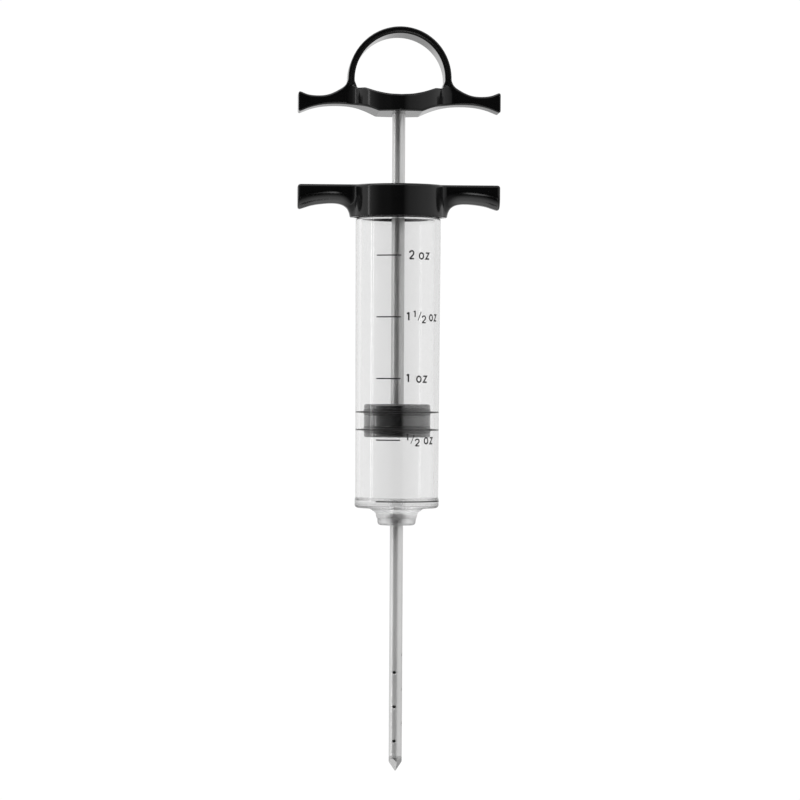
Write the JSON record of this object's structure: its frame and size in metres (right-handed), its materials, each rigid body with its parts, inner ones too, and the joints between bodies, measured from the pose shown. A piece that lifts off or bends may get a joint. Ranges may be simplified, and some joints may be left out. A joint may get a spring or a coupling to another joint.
{
  "type": "meat injector",
  "caption": "Marinade syringe for meat: clear graduated barrel, winged bayonet cap, steel rod with a ring handle, sealed piston, and a closed-point needle with side ports.",
  "frame": {"origin": "on the barrel's axis, in the plane of the cap's underside, where two fingers pull against the wings", "axes": "+Z along the barrel away from the needle, +X along the finger wings, -Y the side that the scale is printed on"},
  "size_m": [0.0772, 0.0364, 0.2837],
  "materials": {
    "clear_plastic": "clear, polished",
    "black_plastic": "glossy moulded",
    "piston_plastic": "dark, satin",
    "seal_rubber": "smooth, wiped",
    "steel": "drawn stainless, bright"
  },
  "bodies": {
    "barrel": {"barrel": "clear_plastic", "needle_tube": "steel", "needle_point": "steel", "needle_collar": "clear_plastic"},
    "cap": {"barrel_cap": "black_plastic"},
    "piston": {"piston_body": "piston_plastic", "upper_seal_ring": "seal_rubber", "lower_seal_ring": "seal_rubber"},
    "plunger": {"plunger_rod": "steel", "plunger_handle": "black_plastic", "piston_washer": "steel", "piston_nut": "steel"}
  },
  "joints": [
    {"name": "plunger_slide", "type": "slide", "parent": "barrel", "child": "piston", "axis": [0, 0, 1], "range_m": [-0.0239, 0.0698]},
    {"name": "plunger_spin", "type": "hinge", "parent": "piston", "child": "plunger", "pos_m": [0, 0, 0], "axis": [0, 0, 1], "continuous": true},
    {"name": "cap_twist", "type": "hinge", "parent": "barrel", "child": "cap", "pos_m": [0, 0, 0], "axis": [0, 0, 1], "range_deg": [0, 70]}
  ]
}
